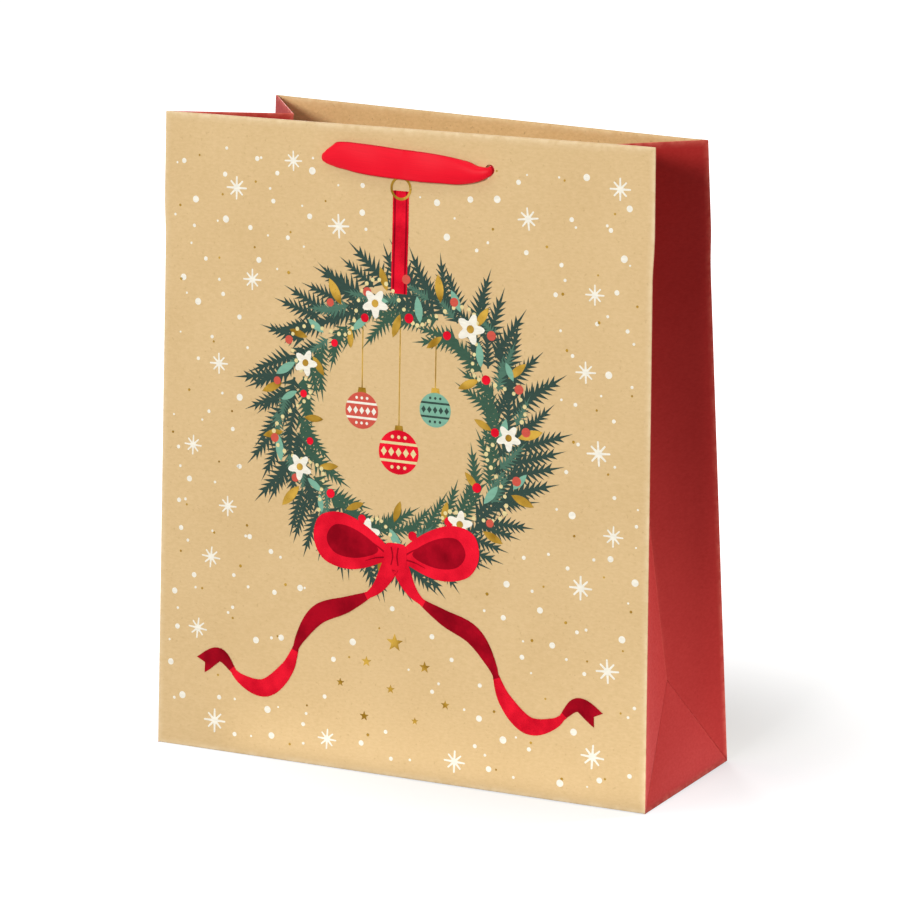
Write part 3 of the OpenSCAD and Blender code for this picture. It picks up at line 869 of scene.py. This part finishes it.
# Middle across and up from the wreath's middle, radius, ink and ink of the trim
for x, rise, radius, tone, trim in ((-0.019, 0.004, 0.0088, coral_ink, cream_ink),
                                    (0.001, -0.014, 0.0106, red_foil, straw_ink),
                                    (0.020, 0.008, 0.0082, mint_ink, deep_green)):
    y, half_thread = wreath_y + rise, thread_w / 2
    top = wreath_y + math.sqrt((ring_r - 0.006) ** 2 - x ** 2)
    baubles.append(([(x - half_thread, y), (x + half_thread, y), (x + half_thread, top), (x - half_thread, top)],
                    1, gold_foil))
    baubles.append(([(x + sx * cap_w / 2, y + radius + sy) for sx, sy in
                     ((-1, -0.001), (1, -0.001), (0.8, 0.0022), (-0.8, 0.0022))], 2, gold_foil))
    baubles.append((disc_outline(x, y, radius, 40), 4, tone))
    for low, high in ((-0.46, -0.34), (0.34, 0.46)):
        stripe = [polar(radius, math.asin(level), x, y) for level in (low, (low + high) / 2, high)]
        baubles.append((stripe + [(2 * x - px, py) for px, py in stripe[::-1]], 6, trim))
    for k in range(-2, 3):
        baubles.append(([(x + k * 0.37 * radius + sx * 0.15 * radius, y + sy * 0.21 * radius)
                         for sx, sy in ((0, -1), (1, 0), (0, 1), (-1, 0))], 6, trim))
    for k in (-1, 0, 1):
        for dot in (-0.68, 0.68):
            baubles.append((disc_outline(x + 0.32 * k * radius, y + dot * radius, 0.085 * radius, 8), 6, trim))
print_on_walls("baubles", flat_mesh("flat_baubles", baubles, bauble_inks))

# Bow with loops and curled tails, by places in millimetres from its knot
bow_y, bow_tail_w = 108, 0.0098
bow_tail = ((1, -2), (10, -17), (25, -26), (41, -33), (51, -46), (58, -62), (70, -73), (84, -70), (95, -60),
            (106, -66))
bow_loop = ((2, 1), (14, 12), (29, 18), (41, 15), (44, 4), (38, -6), (24, -9), (10, -5))
loop_inside = ((9, 2), (20, 10), (32, 12), (37, 5), (32, -2), (20, -3))
loop_creases = (((5, 1), (11, 4.6), (17, 7)), ((5, -1), (10.5, -1.9), (16, -4)))
bow_knot = ((-5.2, -5.5), (0, -6.6), (5.2, -5.5), (6, 0), (5.2, 5.5), (0, 6.4), (-5.2, 5.5), (-6, 0))
bow, kept_clear = [], []


def bow_places(places, side=1):
    return [(side * x / 1000, (bow_y + y) / 1000) for x, y in places]


for side in (-1, 1):
    tail = spline(bow_places(bow_tail, side), 10)
    kept_clear += [(x, y, 0) for x, y in tail[::4]]
    share = np.linspace(0, 1, len(tail))
    curl = np.cos(share * math.pi * 3 + 0.2)
    widths = bow_tail_w * (0.34 + 0.66 * np.abs(curl)) * (1 - 0.12 * share)
    turns = [0] + [k for k in range(1, len(tail)) if curl[k] * curl[k - 1] < 0] + [len(tail) - 1]
    for k, (start, end) in enumerate(zip(turns, turns[1:])):
        outline = band_outline(tail[start:end + 1], widths[start:end + 1])
        if end == len(tail) - 1:
            outline.insert(end - start + 1, tuple(tail[-1] - (tail[-1] - tail[-2]) * 2.2))
        bow.append((outline, 38 + 2 * (k % 2), (red_foil, dark_red_foil)[k % 2]))
    bow.append((loop_outline(bow_places(bow_loop, side), 6), 44, red_foil))
    bow.append((loop_outline(bow_places(loop_inside, side), 6), 47, dark_red_foil))
    for places in loop_creases:
        crease = spline(bow_places(places, side), 6)
        bow.append((band_outline(crease, np.linspace(0.0009, 0.0002, len(crease))), 50, dark_red_foil))
bow.append((loop_outline(bow_places(bow_knot), 5), 53, red_foil))
for x in (-2.2, 1.6):
    bow.append((band_outline(spline(bow_places(((x, -4.4), (0.6 * x, 0), (x, 4.4))), 6), 0.0007), 56, dark_red_foil))

# Strap with dark edges that the wreath hangs from, its gold ring, and gold stars below the bow
strap_w, edge_w, hang_r, hang_w = 0.0085, 0.0009, 0.0050, 0.0012
strap_low, strap_top = wreath_y + ring_r + 0.004, 0.281
strap_rows = np.linspace(strap_low, strap_top, 10)
for aside, width, level, tone in ((0, strap_w, 22, red_foil), (strap_w * 0.36, edge_w, 24, dark_red_foil),
                                  (-strap_w * 0.36, edge_w, 24, dark_red_foil)):
    bow.append((band_outline([(aside, y) for y in strap_rows], width), level, tone))
hang_ring = [polar(hang_r, a, 0, strap_top + 0.0012) for a in np.linspace(0.12, 2 * math.pi + 0.08, 40)]
bow.append((band_outline(hang_ring, hang_w), 26, gold_foil))
for x, y, radius in ((0, 66, 4.6), (-15, 55, 2.8), (16, 56, 3.0), (-2, 43, 2.4), (-29, 43, 2.2), (27, 39, 2.4),
                     (11, 29, 2.0), (-16, 28, 2.6)):
    bow.append(([((x + radius * reach * math.sin(a)) / 1000, (y + radius * reach * math.cos(a)) / 1000)
                 for a, reach in ((-2 * math.pi * k / 10, 0.42 if k % 2 else 1.0) for k in range(10))], 1, gold_foil))
    kept_clear.append((x / 1000, y / 1000, 0))
kept_clear += [(0.0, y, 0) for y in strap_rows]
print_on_walls("bow", flat_mesh("flat_bow", bow, (red_foil, dark_red_foil, gold_foil)))


# Snow printed on the walls
# Flakes and dots of cream ink and specks of gold foil, scattered over both walls and clear of the wreath and the bow.
# Ink and foil lie on the paper as a thin film.
dot_tree, given = new_tree(
    "dots_over_wall", Material=("Ink",), Int=("Sides", "Seed"),
    Float=("Width", "Height", "Low", "Spacing", "Density", "Small", "Large", "Bias", "Film", "Clear"),
    Vector=("Wreath centre", "Wreath reach", "Bow centre", "Bow reach"))
wall_grid = add(dot_tree, "GeometryNodeMeshGrid",
                {"Size X": given["Width"], "Size Y": given["Height"], "Vertices X": 2, "Vertices Y": 2})
raised = vector(dot_tree, 0.0, maths(dot_tree, "MULTIPLY_ADD", given["Height"], 0.5, given["Low"]), 0.0)
stood = add(dot_tree, "GeometryNodeTransform", {"Geometry": wall_grid.outputs[0], "Translation": raised})
sown = add(dot_tree, "GeometryNodeDistributePointsOnFaces",
           {"Mesh": stood.outputs[0], "Distance Min": given["Spacing"], "Density Max": given["Density"],
            "Seed": given["Seed"]}, distribute_method="POISSON")


def less(tree, value, limit):
    return add(tree, "FunctionNodeCompare", {0: value, 1: limit}, data_type="FLOAT",
               operation="LESS_THAN").outputs[0]


to_print = add(dot_tree, "GeometryNodeProximity", {0: given["Geometry"]}, target_element="POINTS")
crowded = less(dot_tree, to_print.outputs["Distance"], given["Clear"])
where = add(dot_tree, "GeometryNodeInputPosition").outputs[0]
for zone in ("Wreath", "Bow"):
    away = vectors(dot_tree, "SUBTRACT", where, given[zone + " centre"])
    length = vectors(dot_tree, "LENGTH", vectors(dot_tree, "DIVIDE", away, given[zone + " reach"]))
    crowded = add(dot_tree, "FunctionNodeBooleanMath", {0: crowded, 1: less(dot_tree, length, 1.0)},
                  operation="OR").outputs[0]
kept_dots = add(dot_tree, "GeometryNodeDeleteGeometry", {"Geometry": sown.outputs[0], "Selection": crowded},
                domain="POINT")
draw = maths(dot_tree, "POWER", chance(dot_tree, given, 0.0, 1.0, 3), given["Bias"])
dot_size = remap(dot_tree, draw, 0.0, 1.0, given["Small"], given["Large"])
disc = add(dot_tree, "GeometryNodeMeshCylinder", {"Vertices": given["Sides"], "Radius": 1.0, "Depth": given["Film"]},
           fill_type="NGON")
close_tree(dot_tree, given, set_on(dot_tree, kept_dots.outputs[0], disc.outputs["Mesh"], 0.0, dot_size))

# Middle of each flake in millimetres: across from the wall's middle and up from its foot
flake_places = ((-89, 276), (66, 273), (-80, 233), (-33, 262), (101, 241), (97, 205), (-98, 191), (-112, 150),
                (104, 168), (-92, 122), (112, 130), (-101, 96), (96, 104), (-108, 60), (110, 66), (-58, 291),
                (103, 24), (32, 12), (-98, 15), (-36, 14), (112, 290))
flake_points = [(x / 1000, y / 1000, 0) for x, y in flake_places]
arms, arm_long, arm_short, arm_w, heart_r = 8, 0.0055, 0.0047, 0.00042, 0.0016
flake_outline = []
for k in range(arms):
    turn, reach = k * math.pi / 4, arm_short if k % 2 else arm_long
    flake_outline.append(polar(heart_r, turn - math.pi / arms))
    for along, aside in ((reach * 0.5, -1.2 * arm_w), (reach, -arm_w), (reach * 1.05, 0), (reach, arm_w),
                         (reach * 0.5, 1.2 * arm_w)):
        flake_outline.append((along * math.cos(turn) - aside * math.sin(turn),
                              along * math.sin(turn) + aside * math.cos(turn)))
print_copies("snowflakes", flake_outline, cream_ink, spot_tree, flake_points, 0.5, film * 2 / 3, 0.0,
             Small=0.82, Large=1.06, Seed=4)
print_zones = {"Wreath centre": (0.0, wreath_y, 0.0), "Wreath reach": (ring_r + 0.029, ring_r + 0.031, 1.0),
               "Bow centre": (0.0, bow_y / 1000, 0.0), "Bow reach": (0.050, 0.024, 1.0)}
for label, seed, spacing, density, small, large, bias, sides, finish in (
        ("snow_dots", 11, 0.0125, 16000.0, 0.00085, 0.00180, 1.1, 16, cream_ink),
        ("snow_grains", 23, 0.0150, 9000.0, 0.00050, 0.00085, 1.0, 10, cream_ink),
        ("gold_specks", 37, 0.0190, 8000.0, 0.00055, 0.00090, 1.5, 6, gold_foil)):
    flat = grown("flat_" + label, flake_points + kept_clear, dot_tree, Width=bag_w - 0.012, Height=bag_h - 0.022,
                 Low=0.0075, Spacing=spacing, Density=density, Small=small, Large=large, Bias=bias, Sides=sides,
                 Film=film / 2, Clear=0.0085, Seed=seed, Ink=finish, **print_zones)
    print_on_walls(label, flat, film * 0.7)


# Ribbon handles
# One red satin ribbon each at the front and the back. It is gathered through the two holes and lies between them in a
# low arch on the wall, which opens as the handle is pulled up.
ribbon_w, ribbon_t = 0.015, 0.00024
wave_h, wave_turns = 0.0003, 190
lanes, closed_curl = np.linspace(-1, 1, 25), 3.0

# Woven satin: fine ribs across and threads along; both edges are darkened as a close selvedge and with painted shade
# where they curl away
red_satin, tree = new_material("red_satin")
weave = add(tree, "ShaderNodeUVMap", uv_map="weave").outputs[0]
ribs = add(tree, "ShaderNodeTexWave", {"Vector": weave, "Scale": 520.0, "Distortion": 0.6, "Detail": 1.0},
           bands_direction="Y").outputs["Fac"]
threads = noise(tree, stretched(tree, weave, (2600, 60, 1)), 1.0, 2.0)
tone = maths(tree, "MULTIPLY_ADD", threads, 0.65, maths(tree, "MULTIPLY", ribs, 0.35))
from_middle = maths(tree, "ABSOLUTE", add(tree, "ShaderNodeSeparateXYZ", {0: weave}).outputs[0])
# Painted shade: a dark band along both edges stands for the edges curling away from the light
selvedge_and_painted_shade = remap(tree, from_middle, ribbon_w * 0.44, ribbon_w * 0.49, 0.0, 0.75)
ground = mixed(tree, tone, srgb((255, 14, 44)), srgb((226, 8, 34)))
colour = mixed(tree, selvedge_and_painted_shade, ground, srgb((168, 8, 26)))
coat(tree, colour, remap(tree, threads, 0.0, 1.0, 0.42, 0.56), tone, 0.25, 0.00008,
     {"Specular IOR Level": 0.18, "Anisotropic": 0.5, "Sheen Weight": 0.03, "Sheen Roughness": 0.35})


def curl_to(width):
    """Radius and half angle of the arc that the ribbon's section takes where it is drawn in to a width."""
    if width <= 2 * ribbon_w / math.pi:
        return width / 2, min(ribbon_w / width, closed_curl)
    low, high = 0.001, math.pi / 2
    for _ in range(30):
        angle = (low + high) / 2
        low, high = (angle, high) if math.sin(angle) / angle > width / ribbon_w else (low, angle)
    return ribbon_w / 2 / low, low


def ribbon_grid(centres, across, widths, press, sink):
    """Points [station][across] of a ribbon whose edges curl back where it is drawn in. Press flattens the curl, and
    sink says whether the line is the ribbon's crest (0) or the middle of its curl (0.5)."""
    normals = unit(np.cross(unit(np.gradient(centres, axis=0)), across))
    arcs = np.array([curl_to(w) for w in widths])
    radius, angle = arcs[:, :1], arcs[:, 1:] * lanes[None, :]
    aside = radius * np.sin(angle)
    stand = press[:, None] * radius * (np.cos(angle) - 1)
    stand = stand - sink * stand.min(axis=1, keepdims=True)
    return centres[:, None] + aside[..., None] * across[:, None] + stand[..., None] * normals[:, None]


def lay_weave(obj, flat):
    """Each point's place on the flat ribbon, across and along."""
    corner = np.empty(len(obj.data.loops), int)
    obj.data.loops.foreach_get("vertex_index", corner)
    obj.data.uv_layers.new(name="weave").data.foreach_set("uv", flat[corner].ravel().astype(np.float32))


def line_length(grid):
    """The length along a ribbon's middle up to each station."""
    return np.concatenate([[0], np.linalg.norm(np.diff(grid.mean(1), axis=0), axis=1).cumsum()])


def ribbon_piece(name, grid, start=0.0):
    """A closed strip of ribbon from a grid of points, with its weave laid out flat."""
    normal = unit(np.cross(np.gradient(grid, axis=0), np.gradient(grid, axis=1)))
    obj = closed_sheet(name, grid + normal * ribbon_t / 2, grid - normal * ribbon_t / 2, (red_satin, red_satin))
    length = line_length(grid)
    flat = np.stack(np.meshgrid(start + length, lanes / 2 * ribbon_w, indexing="ij")[::-1], -1).reshape(-1, 2)
    lay_weave(obj, np.tile(flat, (2, 1)))
    return obj


# Across from the wall's middle, up from the hole, width and stand off the wall, in millimetres; how far it is pressed
arch = (
    (-41.5, 0.2, 4.4, -2.3, 0.60), (-41.6, 0.2, 4.2, 0.7, 0.60), (-41.4, 0.1, 3.8, 2.0, 0.55),
    (-40.2, 0.2, 4.7, 3.0, 0.50), (-38.4, 0.6, 6.8, 3.5, 0.45), (-36.0, 1.1, 9.2, 3.7, 0.42),
    (-32.9, 1.7, 11.9, 3.8, 0.40), (-27.4, 1.6, 13.1, 3.8, 0.36), (-21.7, 1.1, 13.8, 3.8, 0.34),
    (-11.0, 0.4, 14.3, 3.9, 0.34), (0.0, -0.2, 14.1, 3.9, 0.34), (11.0, -0.65, 13.9, 3.9, 0.34),
    (21.8, -1.1, 13.0, 3.8, 0.36), (30.0, -1.6, 12.0, 3.8, 0.40), (36.0, -1.8, 10.0, 3.8, 0.45),
    (40.4, -2.0, 7.4, 3.7, 0.50), (44.0, -1.6, 5.6, 3.3, 0.55), (46.2, -1.1, 4.5, 2.4, 0.60),
    (47.3, -0.7, 4.2, 1.2, 0.60), (47.6, -0.5, 4.1, 0.2, 0.60), (47.5, -0.4, 4.0, -1.0, 0.60),
    (47.4, -0.2, 4.2, -2.3, 0.60))
arch_x, rise, width, stand = spline(arch, 8).T[:4] / 1000
press = spline(arch, 8)[:, 4]
middle = int(np.argmin(np.abs(arch_x - hole_shift)))
for wall in ("front", "back"):
    centres, outward = face_point(wall, arch_x / bag_w + 0.5, hole_v + rise / bag_h, stand)
    low, high = (face_point(wall, 0.5, v)[0] for v in (hole_v - 0.05, hole_v + 0.05))
    across = np.broadcast_to(unit(high - low), centres.shape)
    grid = ribbon_grid(centres, across, width, press, 0.0)
    wave = wave_h * np.sin(wave_turns * arch_x[:, None] + lanes) * ease(width, 0.008, 0.013)[:, None]
    grid = grid + wave[..., None] * outward[:, None]
    for side, label, part, start in ((-1, "left", grid[:middle + 1], 0.0),
                                     (1, "right", grid[middle:], line_length(grid)[middle])):
        half = ribbon_piece(f"{wall}_ribbon_{label}", part, start)
        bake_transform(half)
        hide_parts(wall + "_ribbon")


# Ribbon tails and knots
# Inside the bag each end of a ribbon hangs down from its hole and is tied in a plain knot, which comes up under the
# hole when the handle is pulled. A short end, cut at a slant, sticks out below the knot.
tail_depth, tail_drop, tail_press = 0.0085, 0.086, 0.55
knot_rise, knot_r, knot_stations, knot_sides = 0.008, 0.0011, 72, 16
tube_wide, tube_thin, wrinkles, wrinkle_depth = 0.0016, 0.0008, 5, 0.10
tag_len, tag_press, tag_slant = 0.013, 0.5, 0.0022
# Depth behind the wall's outer face, drop below the hole or the knot, and width, in millimetres
tail_path = ((2.3, 0.0, 4.8), (4.4, 0.2, 4.8), (6.6, 1.4, 4.8), (8.0, 4.2, 5.2), (8.5, 9.0, 6.4), (8.5, 24.0, 8.6),
             (8.5, 44.0, 9.2), (8.5, 64.0, 8.0), (8.5, 78.0, 5.6), (8.5, 86.0, 4.8))
tag_path = ((8.5, 0.0, 4.8), (8.7, 3.0, 6.0), (9.2, 7.0, 9.0), (9.4, 13.0, 12.0))
sideways, down = np.array([1.0, 0, 0]), np.array([0, 0, -1.0])

# The knot's line is a trefoil, and its section a flat wrinkled round
turn = np.linspace(0, 2 * np.pi, knot_stations + 1)[:-1]
trefoil = np.stack([np.sin(turn) + 2 * np.sin(2 * turn), -1.1 * np.sin(3 * turn),
                    np.cos(turn) - 2 * np.cos(2 * turn)], 1)
round_tube = np.linspace(0, 2 * np.pi, knot_sides + 1)[:-1]
wrinkle = 1 + wrinkle_depth * np.sin(wrinkles * round_tube)[None, :, None]
knot_faces = [(a * knot_sides + b, a * knot_sides + (b + 1) % knot_sides,
               (a + 1) % knot_stations * knot_sides + (b + 1) % knot_sides, (a + 1) % knot_stations * knot_sides + b)
              for a in range(knot_stations) for b in range(knot_sides)]
knot_point = np.arange(knot_stations * knot_sides)
knot_weave = np.stack([(knot_point % knot_sides / knot_sides - 0.5) * 0.8 * ribbon_w,
                       knot_point // knot_sides * 0.0006], 1)
for wall, inward in (("front", np.array([0, 1.0, 0])), ("back", np.array([0, -1.0, 0]))):
    for side, label in ((-1, "left"), (1, "right")):
        hole = hole_at(wall, side)[0]
        depth, drop, width = spline(tail_path, 8).T / 1000
        centres = hole + depth[:, None] * inward + drop[:, None] * down
        along = unit(np.gradient(centres, axis=0))
        twist = np.radians(90) * ease(drop, 0.0, 0.009)[:, None]
        upright = -down - (along @ -down)[:, None] * along
        upright /= np.maximum(np.linalg.norm(upright, axis=1, keepdims=True), 0.02)
        across = unit(np.cos(twist) * upright + np.sin(twist) * sideways)
        grid = ribbon_grid(centres, across, width, np.full_like(width, tail_press), 0.5)
        tail = ribbon_piece(f"{wall}_tail_{label}", grid)
        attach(tail, wall)
        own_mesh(tail)
        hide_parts(wall + "_ribbon_tails")

        middle = hole + tail_depth * inward + (tail_drop + knot_rise / 2) * down
        path = middle + trefoil * knot_r
        ahead = unit(np.roll(path, -1, axis=0) - np.roll(path, 1, axis=0))
        outer = unit(np.cross(ahead, unit(path - middle)))
        inner = np.cross(ahead, outer)
        tube = path[:, None] + wrinkle * (tube_wide * np.cos(round_tube)[None, :, None] * outer[:, None]
                                          + tube_thin * np.sin(round_tube)[None, :, None] * inner[:, None])
        knot = smooth(mesh_object(f"{wall}_knot_{label}", tube.reshape(-1, 3), knot_faces, (red_satin,)))
        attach(knot, wall + "_handle")
        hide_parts(wall + "_knots")
        lay_weave(knot, knot_weave)

        depth, drop, width = spline(tag_path, 8).T / 1000
        centres = hole + depth[:, None] * inward + (tail_drop + knot_rise * 0.75 + drop)[:, None] * down
        across = np.broadcast_to(sideways, centres.shape)
        grid = ribbon_grid(centres, across, width, np.full_like(width, tag_press), 0.5)
        grid[..., 2] += tag_slant * side * lanes[None, :] * (drop / tag_len)[:, None] ** 2
        tag = ribbon_piece(f"{wall}_knot_end_{label}", grid)
        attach(tag, wall + "_handle")
        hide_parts(wall + "_knots")
